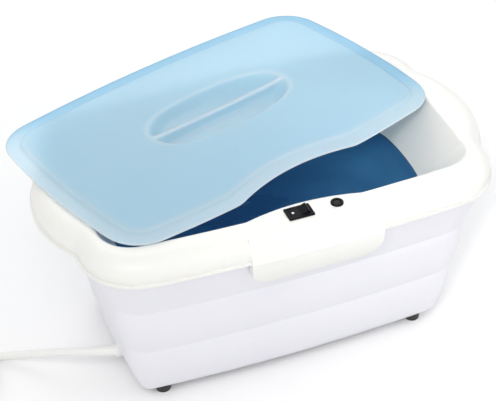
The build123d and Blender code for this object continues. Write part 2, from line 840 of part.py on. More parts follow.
def make_lid():
    """Thin moulded lid: flat band, raised middle, arched bite and two-sided grip."""
    top = lid_wall + lid_dome
    shell = lid_outline.prism(0.0, 0.0, lid_wall) + dome_block(0.0, 0.0)
    shell = shell - dome_block(lid_wall, lid_wall) - notch_tool(0.0, 0.0, lid_wall)
    corners = [
        e for e in shell.edges().filter_by(Axis.Z)
        if abs(e.center().Y) > lid_half_width - notch_depth and abs(abs(e.center().X) - notch_half_width) < 5
    ]
    shell = fillet(corners, notch_corner)
    cup = extrude(grip_face(lid_wall, top - grip_depth - lid_wall), amount=grip_depth + lid_wall, dir=(0, 0, 1))
    pocket = extrude(grip_face(0.0, top - grip_depth), amount=grip_depth, dir=(0, 0, 1))
    half_bar = grip_bar / 2
    bar = block(-grip_half_length, grip_half_length, -half_bar, half_bar, top - grip_depth, top)
    return lid_place(shell + cup - pocket + bar)


# The cord's route, chosen by hand: out through the gland, down to the surface, off to the coil.
cord_route = [
    (-137.0, -29.0, 22.0),
    (-149.0, -29.0, 22.0),
    (-171.5, -22.0, 22.2),
    (-194.0, -8.5, 18.5),
    (-217.0, 8.0, 9.5),
    (-243.0, 22.0, 4.0),
    (-273.5, 29.4, 3.5),
    (-304.0, 30.0, 3.5),
]
coil_centre = (cord_route[-1][0], cord_route[-1][1] - coil_outer_turn)
coil_height = 2 * cord_radius * coil_rows
tail_z = cord_radius * (1 + 2 * coil_tail_row)
tail_start = coil_centre[0] - coil_lap


def make_cord():
    """The stretch of cord from the gland to the coil."""
    radii = run_radii(cord_route)
    print("cord bend radii", [round(r, 1) for r in radii])
    return bent_tube(cord_route, cord_radius, radii)


def make_gland(housing, cord):
    """Cord gland: flange on the wall, sleeve through it, nut inside and a flexible boot."""
    wall_x = -rim_half_length + wall_setback(cord_exit_z)
    outside = wall_x - gland_flange_reach
    face = Pos(outside, cord_exit_y, cord_exit_z) * Rot(0, -90, 0)
    flange = face * cylinder(0, 0, -gland_flange_reach - 2, 0, gland_flange_radius)
    sleeve = face * cylinder(0, 0, -gland_flange_reach - gland_inside, 0, gland_radius)
    nut_low = -gland_flange_reach - gland_inside
    nut = face * cylinder(0, 0, nut_low, nut_low + gland_nut, gland_radius + 2.0)
    start, end = Vector(*cord_route[1]), Vector(*cord_route[2])
    lean = Plane(origin=start, z_dir=end - start)
    boot = lean * cone(0, 0, -2.0, boot_length, boot_base_radius, boot_tip_radius)
    return flange + sleeve + nut + boot - housing - cord


def make_coil():
    """Outer shape of the put-away coil, with a channel for each end of the cord."""
    x, y = coil_centre
    outside = coil_outer_turn + cord_radius
    low_y = y + coil_outer_turn - cord_radius - coil_channel_gap
    ring = cylinder(x, y, 0, coil_height, outside)
    ring -= cylinder(x, y, 0, coil_height, coil_inner_turn - cord_radius)
    entry = block(x, x + outside, low_y, y + outside + 1, 0, 2 * cord_radius)
    leaving = block(x - outside, tail_start, low_y, y + outside + 1, tail_z - cord_radius, tail_z + cord_radius)
    return ring - entry - leaving


def make_tail():
    """The last of the cord, from the coil's middle row to the plug."""
    y = cord_route[-1][1]
    return Pos(tail_start - plug_tail / 2, y, tail_z) * Rot(0, 90, 0) * Cylinder(cord_radius, plug_tail)


def make_plug():
    """Moulded plug with its tapered boot, lying on the surface."""
    x, y = tail_start - plug_tail, cord_route[-1][1]
    back = Pos(x, y, tail_z) * Rot(0, -90, 0)
    boot = back * cone(0, 0, 0, plug_boot_length, cord_radius + 1.0, cord_radius + 3.2)
    body = Pos(x - plug_boot_length - plug_length / 2, y, tail_z) * Box(plug_length, plug_width, 2 * tail_z)
    return fillet(body.edges(), 4.0) + boot


def make_plug_pins():
    """Two flat blades and one round earth pin."""
    x = tail_start - plug_tail - plug_boot_length - plug_length
    y = cord_route[-1][1]
    half = blade_spacing / 2
    blades = [
        block(x - blade_length, x, y + side * half - 0.75, y + side * half + 0.75, tail_z - 0.5, tail_z + 5.8)
        for side in (-1, 1)
    ]
    pin = Pos(x - blade_length / 2 - 1, y, tail_z - 6.0) * Rot(0, 90, 0) * Cylinder(2.4, blade_length + 2)
    return group([*blades, pin])


if __name__ == "__main__":
    os.makedirs("parts", exist_ok=True)
    housing = make_housing()
    cord = make_cord()
    parts = {
        "outer_housing": housing,
        "top_bezel": make_bezel(),
        "base_plate": make_base_plate(),
        "wax_tank": make_tank(),
        "tank_seal": make_seal(),
        "heating_pad": make_heater(),
        "heater_clamp_plate": make_clamp(),
        "heater_clamp_nuts": make_clamp_nuts(),
        "thermostat": make_thermostat(),
        "thermostat_strap": make_bracket(),
        "thermal_cutoff": make_fuse(),
        "insulation_blanket": make_blanket(),
        "switch_frame": make_switch_frame(),
        "switch_rocker": make_rocker(),
        "rocker_pin": make_rocker_pin(),
        "switch_terminals": make_terminals(),
        "lamp_body": make_lamp_body(),
        "lamp_lens": make_lamp_lens(),
        "lamp_bulb": make_lamp_bulb(),
        "lamp_ring_nut": make_lamp_nut(),
        "terminal_block": make_terminal_block(),
        "terminal_screws": make_terminal_screws(),
        "cord_gland": make_gland(housing, cord),
        "power_cord": cord,
        "cord_coil": make_coil(),
        "cord_tail": make_tail(),
        "mains_plug": make_plug(),
        "plug_pins": make_plug_pins(),
        "lid": make_lid(),
        "foot_screws": group([screw(x, y, 3.6, base_z + 9) for x, y in foot_points]),
        "base_plate_screws": group([screw(x, y, base_z, base_z + 4.4) for x, y in plate_points]),
        "bezel_screws": group([screw(x, y, lug_low, lug_high + 11) for x, y in post_points]),
        "tank_screws": group([screw(x, y, tank_screw_seat, throat_z + 7) for x, y in tank_points]),
    }
    for index, (x, y) in enumerate(foot_points):
        parts["foot_" + ("left_" if x < 0 else "right_") + ("front" if y < 0 else "back")] = make_foot(x, y)
    for name, shape in parts.items():
        export_step(shape, "parts/" + name + ".step")
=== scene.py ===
"""Looks of a heated wax bath for hands and feet: white tiered tub, blue tank, loose frosted lid."""
import logging
import math
from dataclasses import dataclass
from enum import Enum
from typing import Any, Sequence

import bmesh
import bpy
from mathutils import Matrix, Vector


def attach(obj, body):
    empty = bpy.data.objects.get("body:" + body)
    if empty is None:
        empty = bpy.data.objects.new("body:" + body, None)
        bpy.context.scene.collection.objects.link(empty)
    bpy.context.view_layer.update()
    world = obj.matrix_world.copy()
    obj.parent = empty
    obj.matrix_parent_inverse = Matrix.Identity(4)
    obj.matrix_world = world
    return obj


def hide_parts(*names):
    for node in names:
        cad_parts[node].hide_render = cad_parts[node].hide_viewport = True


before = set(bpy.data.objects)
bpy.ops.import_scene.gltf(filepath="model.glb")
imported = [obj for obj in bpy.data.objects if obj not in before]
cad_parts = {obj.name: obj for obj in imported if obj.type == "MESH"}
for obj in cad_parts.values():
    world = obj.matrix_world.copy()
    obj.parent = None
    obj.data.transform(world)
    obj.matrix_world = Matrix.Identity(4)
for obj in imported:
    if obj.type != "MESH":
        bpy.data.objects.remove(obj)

LOG = logging.getLogger("wax_bath")
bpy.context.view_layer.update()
MM = 0.001
Colour = tuple[float, float, float]
Point = tuple[float, float, float]


class Body(Enum):
    """The three rigid bodies of the bath."""

    TUB = "tub"
    LID = "lid"
    ROCKER = "rocker"


# Shader writing --------------------------------------------------------------


@dataclass(frozen=True)
class Number:
    """A number that varies over a surface, so that shader maths reads as Python."""

    sheet: "NodeSheet"
    socket: bpy.types.NodeSocket

    def math(self, operation: str, first: Any, second: Any) -> "Number":
        """Add one Math node.

        Args:
            operation: the Math node's operation.
            first: a Number or a plain number.
            second: a Number or a plain number.

        Returns:
            The node's result.
        """
        node = self.sheet.node("ShaderNodeMath", {"operation": operation}, {0: first, 1: second})
        return Number(self.sheet, node.outputs[0])

    def __add__(self, other: Any) -> "Number":
        """Sum of two numbers."""
        return self.math("ADD", self, other)

    def __radd__(self, other: Any) -> "Number":
        """Sum with a plain number on the left."""
        return self.math("ADD", other, self)

    def __sub__(self, other: Any) -> "Number":
        """Difference of two numbers."""
        return self.math("SUBTRACT", self, other)

    def __rsub__(self, other: Any) -> "Number":
        """Difference from a plain number on the left."""
        return self.math("SUBTRACT", other, self)

    def __mul__(self, other: Any) -> "Number":
        """Product of two numbers."""
        return self.math("MULTIPLY", self, other)

    def __rmul__(self, other: Any) -> "Number":
        """Product with a plain number on the left."""
        return self.math("MULTIPLY", other, self)


class NodeSheet:
    """The node tree of one material, with its Principled shader."""

    def __init__(self, name: str) -> None:
        """Start an empty material.

        Args:
            name: the material's name.
        """
        self.material = bpy.data.materials.new(name)
        self.material.use_nodes = True
        self.tree = self.material.node_tree
        self.tree.nodes.clear()
        self.shader = self.node("ShaderNodeBsdfPrincipled", {}, {})
        self.output = self.node("ShaderNodeOutputMaterial", {}, {"Surface": self.shader.outputs[0]})

    def node(self, kind: str, settings: dict[str, Any], inputs: dict[Any, Any]) -> bpy.types.Node:
        """Add a node.

        Args:
            kind: the node's type.
            settings: properties set first; "stops" holds a colour ramp's positions and colours.
            inputs: values or links of its sockets, by name or index.

        Returns:
            The new node.
        """
        made = self.tree.nodes.new(kind)
        for key, value in settings.items():
            if key == "stops":
                self._set_stops(made.color_ramp, value)
            else:
                setattr(made, key, value)
        for key, value in inputs.items():
            self.feed(made.inputs[key], value)
        return made

    @staticmethod
    def _set_stops(ramp: bpy.types.ColorRamp, stops: Sequence[tuple[float, float]]) -> None:
        """Give a ramp grey stops.

        Args:
            ramp: the ramp to set.
            stops: position and grey level of each stop.
        """
        while len(ramp.elements) < len(stops):
            ramp.elements.new(0.5)
        for element, (position, grey) in zip(ramp.elements, stops):
            element.position = position
            element.color = (grey, grey, grey, 1.0)

    def feed(self, socket: bpy.types.NodeSocket, value: Any) -> None:
        """Link or set one input socket.

        Args:
            socket: the input.
            value: a Number, an output socket, or a plain value.
        """
        if isinstance(value, Number):
            self.tree.links.new(value.socket, socket)
        elif isinstance(value, bpy.types.NodeSocket):
            self.tree.links.new(value, socket)
        elif isinstance(value, tuple) and len(value) == 3 and socket.type == "RGBA":
            socket.default_value = (*value, 1.0)
        else:
            socket.default_value = value

    def place(self, stretch: Point = (1.0, 1.0, 1.0)) -> bpy.types.NodeSocket:
        """Object coordinates, stretched along the axes.

        Args:
            stretch: factor along X, Y and Z.

        Returns:
            The stretched coordinates.
        """
        coordinates = self.node("ShaderNodeTexCoord", {}, {}).outputs["Object"]
        scaled = self.node("ShaderNodeVectorMath", {"operation": "MULTIPLY"}, {0: coordinates, 1: stretch})
        return scaled.outputs[0]

    def noise(self, scale: float, detail: float = 2.0, stretch: Point = (1.0, 1.0, 1.0)) -> Number:
        """Soft noise from 0 to 1.

        Args:
            scale: how many features per metre.
            detail: octaves.
            stretch: factor along X, Y and Z.

        Returns:
            The noise.
        """
        made = self.node(
            "ShaderNodeTexNoise", {}, {"Vector": self.place(stretch), "Scale": scale, "Detail": detail}
        )
        return Number(self, made.outputs[0])

    def painted(self, attribute: str) -> Number:
        """A number stored on the mesh's points.

        Args:
            attribute: the attribute's name.

        Returns:
            The number.
        """
        made = self.node("ShaderNodeAttribute", {"attribute_name": attribute}, {})
        return Number(self, made.outputs["Fac"])

    def ramp(self, value: Number, stops: Sequence[tuple[float, float]]) -> Number:
        """Bend a number with grey stops.

        Args:
            value: the number.
            stops: position and level of each stop.

        Returns:
            The bent number.
        """
        made = self.node("ShaderNodeValToRGB", {"stops": stops}, {"Fac": value})
        return Number(self, made.outputs[0])

    def blend(self, amount: Number, low: Any, high: Any) -> bpy.types.NodeSocket:
        """Mix two colours.

        Args:
            amount: 0 for low, 1 for high.
            low: a colour or a colour socket.
            high: a colour or a colour socket.

        Returns:
            The mixed colour.
        """
        made = self.node("ShaderNodeMix", {"data_type": "RGBA"}, {0: amount, 6: low, 7: high})
        return made.outputs[2]

    def bump(self, height: Number, depth: float, under: Any = None) -> bpy.types.NodeSocket:
        """Surface relief.

        Args:
            height: relief from 0 to 1.
            depth: its height in metres.
            under: another relief that this one lies on, if any.

        Returns:
            The bumped normal.
        """
        inputs = {"Height": height, "Distance": depth, "Strength": 1.0}
        if under is not None:
            inputs["Normal"] = under
        return self.node("ShaderNodeBump", {}, inputs).outputs[0]

    def set(self, **values: Any) -> None:
        """Feed the Principled shader; underscores in the names stand for spaces."""
        for name, value in values.items():
            self.feed(self.shader.inputs[name.replace("_", " ")], value)


def shade(colour: Colour, factor: float) -> Colour:
    """A colour made lighter or darker.

    Args:
        colour: the linear colour.
        factor: what each channel is multiplied by.

    Returns:
        The new colour, no channel above 1.
    """
    return tuple(min(1.0, channel * factor) for channel in colour)


# Finishes --------------------------------------------------------------------


@dataclass(frozen=True)
class Finish:
    """What all finishes share: a name and one material made on first use."""

    name: str

    def paint(self, sheet: NodeSheet) -> None:
        """Write the finish's nodes; each finish has its own.

        Args:
            sheet: the material's node tree.
        """
        raise NotImplementedError

    def material(self) -> bpy.types.Material:
        """Find the finish's material, or make it.

        Returns:
            The material.
        """
        found = bpy.data.materials.get(self.name)
        if found is None:
            sheet = NodeSheet(self.name)
            self.paint(sheet)
            found = sheet.material
        return found


@dataclass(frozen=True)
class MouldedPlastic(Finish):
    """Injection-moulded plastic: faint mottling, fine grain, soft gloss."""

    colour: Colour
    roughness: float = 0.38
    mottle: float = 0.03
    grain: float = 2200.0
    grain_depth: float = 0.00001
    coat: float = 0.0
    glow: float = 0.0
    shine: float = 0.5

    def paint(self, sheet: NodeSheet) -> None:
        """Write the nodes.

        Args:
            sheet: the material's node tree.
        """
        cloud = sheet.noise(9.0, 3.0)
        speck = sheet.noise(self.grain, 2.0)
        waves = sheet.noise(38.0, 1.0)
        darker = shade(self.colour, 1 - self.mottle)
        lighter = shade(self.colour, 1 + self.mottle)
        sheet.set(
            Base_Color=sheet.blend(cloud, darker, lighter),
            Roughness=self.roughness + 0.10 * (speck - 0.5) + 0.08 * (cloud - 0.5),
            Normal=sheet.bump(speck, self.grain_depth, sheet.bump(waves, 0.00012)),
            Coat_Weight=self.coat,
            Coat_Roughness=0.12,
            Subsurface_Weight=self.glow,
            Subsurface_Scale=0.004,
            Specular_IOR_Level=self.shine,
            IOR=1.49,
        )


@dataclass(frozen=True)
class CoatedTank(Finish):
    """Deep-drawn tank with a smooth baked coating; its lighter streaks along its length are painted reflection.
    """

    colour: Colour
    # the lighter blue of the painted reflection streaks
    painted_reflection_blue: Colour

    def paint(self, sheet: NodeSheet) -> None:
        """Write the nodes.

        Args:
            sheet: the material's node tree.
        """
        # drawn gives a faint relief and, through the ramp below, lighter horizontal streaks of painted
        # reflection in the coating's colour.
        drawn = sheet.noise(5.0, 2.0, (1.0, 1.0, 5.0))
        painted_reflection_streak = sheet.ramp(drawn, [(0.35, 0.0), (0.7, 1.0)])
        sheet.set(
            Base_Color=sheet.blend(painted_reflection_streak, self.colour, self.painted_reflection_blue),
            Roughness=0.27 + 0.06 * painted_reflection_streak,
            Normal=sheet.bump(drawn, 0.0008),
            Metallic=0.3,
            Coat_Weight=0.5,
            Coat_Roughness=0.1,
        )


@dataclass(frozen=True)
class FrostedSheet(Finish):
    """Milky translucent plastic: it lets blurred tones of what lies under it through; its edges carry painted
    highlight and painted shade.
    """

    colour: Colour
    # pale is the painted highlight colour of near edges, brow and grip ridge; deep is the painted shade colour
    # of far edges.
    pale: Colour
    deep: Colour
    passage: float
    cover: float

    def paint(self, sheet: NodeSheet) -> None:
        """Write the nodes; the painted highlight and shade stored on the mesh run from the painted shade colour
        (deep) at 0 to the painted highlight colour (pale) at 1.

        Args:
            sheet: the material's node tree.
        """
        frost = sheet.noise(1500.0, 2.0)
        cloud = sheet.noise(14.0, 3.0)
        body = sheet.blend(cloud, shade(self.colour, 0.97), shade(self.colour, 1.03))
        # Painted highlight and shade stored on the lid's points; 0.5 keeps the plain colour.
        light = sheet.painted("painted_edge_highlight_and_shade")
        # Below 0.5 the colour blends to the painted shade colour, above 0.5 to the painted highlight colour.
        lower = sheet.blend(sheet.ramp(light, [(0.0, 0.0), (0.5, 1.0)]), self.deep, body)
        sheet.set(
            Base_Color=sheet.blend(sheet.ramp(light, [(0.5, 0.0), (1.0, 1.0)]), lower, self.pale),
            Roughness=0.58 + 0.08 * (frost - 0.5),
            Normal=sheet.bump(frost, 0.00001, sheet.bump(cloud, 0.0004)),
            Transmission_Weight=self.passage,
            Alpha=self.cover,
            IOR=1.3,
        )


@dataclass(frozen=True)
class PlatedMetal(Finish):
    """Plated or plain metal with a drawn grain."""

    colour: Colour
    roughness: float = 0.32
    stretch: Point = (1.0, 1.0, 8.0)

    def paint(self, sheet: NodeSheet) -> None:
        """Write the nodes.

        Args:
            sheet: the material's node tree.
        """
        grain = sheet.noise(900.0, 3.0, self.stretch)
        cloud = sheet.noise(60.0, 2.0)
        sheet.set(
            Base_Color=sheet.blend(cloud, shade(self.colour, 0.88), shade(self.colour, 1.06)),
            Roughness=self.roughness + 0.18 * (grain - 0.5),
            Normal=sheet.bump(grain, 0.00002),
            Metallic=1.0,
        )


@dataclass(frozen=True)
class MattRubber(Finish):
    """Rubber or silicone: matt, slightly dusty."""

    colour: Colour
    roughness: float = 0.7

    def paint(self, sheet: NodeSheet) -> None:
        """Write the nodes.

        Args:
            sheet: the material's node tree.
        """
        dust = sheet.noise(45.0, 4.0)
        pores = sheet.noise(1800.0, 2.0)
        sheet.set(
            Base_Color=sheet.blend(dust, shade(self.colour, 0.85), shade(self.colour, 1.2)),
            Roughness=self.roughness + 0.15 * (pores - 0.5),
            Normal=sheet.bump(pores, 0.00003),
            Sheen_Weight=0.08,
        )


@dataclass(frozen=True)
class FibreFelt(Finish):
    """Needled glass-fibre felt."""

    colour: Colour

    def paint(self, sheet: NodeSheet) -> None:
        """Write the nodes.

        Args:
            sheet: the material's node tree.
        """
        fibres = sheet.noise(420.0, 5.0, (1.0, 0.25, 2.5))
        tufts = sheet.noise(70.0, 3.0)
        sheet.set(
            Base_Color=sheet.blend(fibres, shade(self.colour, 0.75), shade(self.colour, 1.15)),
            Roughness=0.9,
            Normal=sheet.bump(fibres, 0.0004, sheet.bump(tufts, 0.0015)),
            Sheen_Weight=0.3,
        )


@dataclass(frozen=True)
class TintedGlass(Finish):
    """Small moulded lens or bulb glass."""

    colour: Colour
    passage: float = 0.6
    shine: float = 0.5

    def paint(self, sheet: NodeSheet) -> None:
        """Write the nodes.

        Args:
            sheet: the material's node tree.
        """
        ripple = sheet.noise(300.0, 1.0)
        sheet.set(
            Base_Color=sheet.blend(ripple, self.colour, shade(self.colour, 1.15)),
            Roughness=0.06 + 0.05 * ripple,
            Normal=sheet.bump(ripple, 0.00005),
            Transmission_Weight=self.passage,
            Specular_IOR_Level=self.shine,
            IOR=1.49,
        )


HOUSING = MouldedPlastic("cool_white_plastic", (0.77, 0.77, 0.815), 0.42, glow=0.04)
BEZEL = MouldedPlastic("warm_white_plastic", (0.80, 0.80, 0.775), 0.36, glow=0.04, coat=0.05)
BASE = MouldedPlastic("grey_textured_plastic", (0.42, 0.42, 0.44), 0.6, grain=1200.0, grain_depth=0.00005)
# Tank colours: the coating's blue, then the lighter blue of its painted reflection streaks.
TANK = CoatedTank("blue_tank_coating", (0.060, 0.205, 0.420), (0.100, 0.340, 0.600))
# Lid colours: plain frosted blue, then the painted highlight colour of near edges, brow and grip ridge, then
# the painted shade colour of far edges.
LID = FrostedSheet(
    "frosted_blue_lid", (0.56, 0.81, 0.945), (0.93, 0.97, 0.99), (0.16, 0.54, 0.82), passage=0.45, cover=0.85
)
SWITCH = MouldedPlastic(
    "black_switch_plastic", (0.006, 0.007, 0.009), 0.42, mottle=0.1, grain=3200.0, shine=0.10
)
MARK = MouldedPlastic("white_switch_print", (0.75, 0.75, 0.75), 0.5, grain=2500.0)
LENS = TintedGlass("smoked_lens", (0.008, 0.007, 0.008), 0.0, 0.12)
BULB = TintedGlass("bulb_glass", (0.85, 0.80, 0.72), 0.9)
SHEATH = MouldedPlastic("white_cord_sheath", (0.84, 0.84, 0.82), 0.45, grain=1500.0, grain_depth=0.00002)
PLUG = MouldedPlastic("white_plug_plastic", (0.80, 0.80, 0.78), 0.4, grain=1500.0, grain_depth=0.00002)
STEEL = PlatedMetal("zinc_plated_steel", (0.62, 0.63, 0.64))
BRASS = PlatedMetal("plain_brass", (0.72, 0.53, 0.24), 0.28)
SEAL = MattRubber("black_seal_silicone", (0.022, 0.022, 0.023))
FOOT = MattRubber("dark_foot_rubber", (0.018, 0.018, 0.019), 0.65)
HEATER = MattRubber("orange_heater_silicone", (0.60, 0.15, 0.045), 0.6)
FELT = FibreFelt("glass_fibre_felt", (0.66, 0.64, 0.56))
PHENOLIC = MouldedPlastic("black_phenolic", (0.03, 0.028, 0.026), 0.5, mottle=0.15)
CERAMIC = MouldedPlastic("white_ceramic", (0.72, 0.70, 0.64), 0.3, mottle=0.05, coat=0.2)
NYLON = MouldedPlastic("cream_nylon", (0.72, 0.67, 0.55), 0.45)


# Mesh helpers ----------------------------------------------------------------


def make_piece(name: str, mesh: bpy.types.Mesh, finish: Finish, body: Body) -> bpy.types.Object:
    """Put a mesh in the scene as a piece of the bath.

    Args:
        name: the piece's name.
        mesh: its mesh, in the row frame.
        finish: its finish.
        body: the rigid body that it rides on.

    Returns:
        The new object.
    """
    piece = bpy.data.objects.new(name, mesh)
    bpy.context.scene.collection.objects.link(piece)
    mesh.materials.clear()
    mesh.materials.append(finish.material())
    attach(piece, body.value)
    LOG.info("piece %s: %d faces", name, len(mesh.polygons))
    return piece


def dress(node: str, finish: Finish) -> None:
    """Give a CAD node its finish.

    Args:
        node: the node's name.
        finish: the finish for every one of its material slots.
    """
    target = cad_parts[node]
    if not target.material_slots:
        target.data.materials.append(finish.material())
    for material_slot in target.material_slots:
        material_slot.material = finish.material()
    LOG.info("dressed %s in %s", node, finish.name)


def rings_mesh(name: str, rings: Sequence[Sequence[Point]], cap: tuple[bool, bool]) -> bpy.types.Mesh:
    """Skin closed rings that all have the same number of points.

    Args:
        name: the mesh's name.
        rings: the rings, in order.
        cap: whether the first and the last ring are filled.

    Returns:
        The smooth-shaded mesh.
    """
    shell = bmesh.new()
    loops = [[shell.verts.new(point) for point in ring] for ring in rings]
    for lower, upper in zip(loops, loops[1:]):
        for index in range(len(lower)):
            after = (index + 1) % len(lower)
            shell.faces.new((lower[index], lower[after], upper[after], upper[index]))
    if cap[0]:
        shell.faces.new(reversed(loops[0]))
    if cap[1]:
        shell.faces.new(loops[-1])
    return finished(shell, name)


def finished(shell: bmesh.types.BMesh, name: str, smooth: bool = True) -> bpy.types.Mesh:
    """Turn a bmesh into a mesh with outward faces.

    Args:
        shell: the bmesh, which is freed.
        name: the mesh's name.
        smooth: whether its faces are smooth shaded.

    Returns:
        The mesh.
    """
    bmesh.ops.recalc_face_normals(shell, faces=shell.faces)
    for face in shell.faces:
        face.smooth = smooth
    mesh = bpy.data.meshes.new(name)
    shell.to_mesh(mesh)
    shell.free()
    return mesh


def apply_modifiers(piece: bpy.types.Object) -> None:
    """Replace a piece's mesh with what its modifiers make of it.

    Args:
        piece: the piece, which has no modifiers afterwards.
    """
    bpy.context.view_layer.update()
    seen = piece.evaluated_get(bpy.context.evaluated_depsgraph_get())
    mesh = bpy.data.meshes.new_from_object(seen)
    piece.modifiers.clear()
    piece.data = mesh


def smooth_step(value: float) -> float:
    """An S-shaped rise from 0 to 1."""
    value = max(0.0, min(1.0, value))
    return value * value * (3 - 2 * value)


# Lid -------------------------------------------------------------------------


@dataclass
class Lid:
    """Loose frosted lid: flat band, soft brow, shallow crown, arched bite and two-sided grip.

    All sizes are in millimetres in the lid's own frame, which is turned on the tub. The face is the
    height of the flat band over the lid's lower edge.
    """

    half_length: float = 172.5
    half_width: float = 109.5
    corner: float = 36.0
    side_bow: float = 6.7
    end_bow: float = 4.5
    wall: float = 2.2
    face: float = 0.5
    band: float = 12.0
    brow: float = 4.2
    brow_rise: float = 3.4
    crown_rise: float = 11.3
    crown_ease: float = 1.7
    bite_half_width: float = 65.0
    bite_depth: float = 13.0
    bite_softness: float = 1.5
    bite_fade: float = 45.0
    grip_half_length: float = 74.0
    grip_half_width: float = 31.0
    grip_power: float = 2.5
    grip_shift: float = 1.0
    grip_depth: float = 8.5
    grip_lift: float = 0.3
    pocket_slope: float = 7.5
    pocket_sag: float = 0.9
    bar_half: float = 1.6
    bar_slope: float = 3.6
    table_margin: float = 13.0
    centre: Point = (-18.1, 48.3, 180.3)
    turn: float = 18.1
    side_steps: int = 60
    corner_steps: int = 14
    end_steps: int = 32

    def outline(self, setback: float) -> list[tuple[float, float]]:
        """The lid's outline, moved in, from the middle of the right end anticlockwise.

        Args:
            setback: distance in from the edge.

        Returns:
            Points all round, as many for every setback.
        """
        core_x, core_y = self.half_length - self.corner, self.half_width - self.corner
        side = (core_x**2 + self.side_bow**2) / (2 * self.side_bow)
        end = (core_y**2 + self.end_bow**2) / (2 * self.end_bow)
        low, high = 0.0, core_x
        for _ in range(60):
            middle = (low + high) / 2
            drop = core_y - side + math.sqrt(side**2 - middle**2)
            if core_x - end + math.sqrt(end**2 - drop**2) > middle:
                low = middle
            else:
                high = middle
        knee_x = (low + high) / 2
        knee_y = core_y - side + math.sqrt(side**2 - knee_x**2)
        side_turn = math.asin(knee_x / side)
        end_turn = math.asin(knee_y / end)
        quarter = []
        for step in range(self.end_steps // 2):
            angle = end_turn * step / (self.end_steps // 2)
            reach = end + self.corner - setback
            quarter.append((core_x - end + reach * math.cos(angle), reach * math.sin(angle)))
        for step in range(self.corner_steps):
            angle = end_turn + (math.pi / 2 - side_turn - end_turn) * step / self.corner_steps
            reach = self.corner - setback
            quarter.append((knee_x + reach * math.cos(angle), knee_y + reach * math.sin(angle)))
        for step in range(self.side_steps // 2 + 1):
            angle = side_turn * (1 - step / (self.side_steps // 2))
            reach = side + self.corner - setback
            quarter.append((reach * math.sin(angle), core_y - side + reach * math.cos(angle)))
        half = quarter + [(-x, y) for x, y in reversed(quarter[1:-1])] + [(-quarter[0][0], 0.0)]
        return half + [(x, -y) for x, y in reversed(half[1:-1])]

    def bitten(self, setback: float) -> list[tuple[float, float]]:
        """The outline with the arched bite taken out of its front edge.

        Args:
            setback: distance in from the edge.

        Returns:
            Points all round.
        """
        arch = (self.bite_half_width**2 + self.bite_depth**2) / (2 * self.bite_depth)
        centre_y = -self.half_width + self.bite_depth - arch
        points = []
        for x, y in self.outline(setback):
            if y < 0 and abs(x) < self.bite_half_width + self.bite_fade:
                bite = centre_y + math.sqrt((arch + setback) ** 2 - x * x)
                y = (y + bite + math.hypot(y - bite, self.bite_softness)) / 2 - self.spill(x)
            points.append((x, y))
        return points

    def spill(self, x: float) -> float:
        """What the soft corner would add far from the bite, taken off again."""
        return 0.10 * self.bite_softness * smooth_step((abs(x) - self.bite_half_width) / self.bite_fade)

    def oval(self, x: float, y: float, margin: float = 0.0) -> float:
        """How far out a point is on the grip's blunt oval, or on a wider one: 1 on the oval itself.

        Args:
            x: the point's place along the lid from the grip's middle.
            y: the point's place across the lid.
            margin: how much wider the oval is.

        Returns:
            The share of the way from the middle to the oval.
        """
        along = abs(x) / (self.grip_half_length + margin)
        across = abs(y) / (self.grip_half_width + margin)
        return (along**self.grip_power + across**self.grip_power) ** (1 / self.grip_power)

    def top_rings(self) -> list[list[Point]]:
        """The lid's upper surface from its edge in to the grip.

        Returns:
            Rings of points, from the outside in.
        """
        last = self.band - 1.0
        # The small rises across the outer band also mark, by height, where the painted edge highlight falls.
        edge = (
            (0.0, 0.0), (0.25, 0.30), (0.8, 0.40), (1.8, 0.46), (4.0, self.face), (9.0, self.face), (last, 0.55)
        )
        rings = [[(x, y, height) for x, y in self.bitten(setback)] for setback, height in edge]
        brow_steps = 6
        for step in range(1, brow_steps + 1):
            rise = step / brow_steps
            setback = last + (self.brow + 1.0) * rise
            height = self.face + self.brow_rise * smooth_step(rise)
            rings.append([(x, y, height) for x, y in self.bitten(setback)])
        inner = self.bitten(self.band + self.brow)
        table = []
        for x, y in inner:
            along = x - self.grip_shift
            share = self.oval(along, y, self.table_margin)
            table.append((self.grip_shift + along / share, y / share))
        crown_steps = 14
        for step in range(1, crown_steps + 1):
            share = step / crown_steps
            swell = (self.crown_rise - self.brow_rise) * (1 - (1 - share) ** self.crown_ease)
            height = self.face + self.brow_rise + swell
            rings.append([
                (ix + (tx - ix) * share, iy + (ty - iy) * share, height)
                for (ix, iy), (tx, ty) in zip(inner, table)
            ])
        for share, lift in ((0.4, 0.25), (0.75, 0.45), (1.0, self.grip_lift)):
            ring = []
            for x, y in table:
                along = x - self.grip_shift
                scale = 1 + (1 / self.oval(along, y) - 1) * share
                ring.append((self.grip_shift + along * scale, y * scale, self.face + self.crown_rise + lift))
            rings.append(ring)
        return rings

    def pocket_height(self, x: float, y: float) -> float:
        """Height inside the grip: two pockets with a straight bar between them.

        Args:
            x: place along the bar.
            y: place across it.

        Returns:
            The surface's height.
        """
        edge = (1 - self.oval(x - self.grip_shift, y)) * self.grip_half_width
        bar = abs(y) - self.bar_half
        sink = smooth_step((edge - 0.2) / self.pocket_slope) * smooth_step((bar + 0.4) / self.bar_slope)
        sag = self.pocket_sag * smooth_step((edge - 1) / 12) * (1 - sink)
        return self.face + self.crown_rise + self.grip_lift - self.grip_depth * sink - sag

    def grip_rows(self, half: float) -> list[float]:
        """Places across one column of the grip, from one edge to the other.

        Args:
            half: the column's half-width.

        Returns:
            Distances from the bar's middle, largest first.
        """
        scale = min(1.0, half / 13.0)
        near_bar = [d * scale for d in (0.0, 1.2, 2.0, 2.6, 3.3, 4.1, 5.0)]
        near_edge = [half - d * scale for d in (6.8, 5.4, 4.0, 2.8, 1.7, 0.8)]
        between = [near_bar[-1] + (near_edge[0] - near_bar[-1]) * step / 5 for step in range(1, 5)]
        rows = near_bar + between + near_edge
        return sorted([*(-d for d in rows[1:]), *rows], reverse=True)

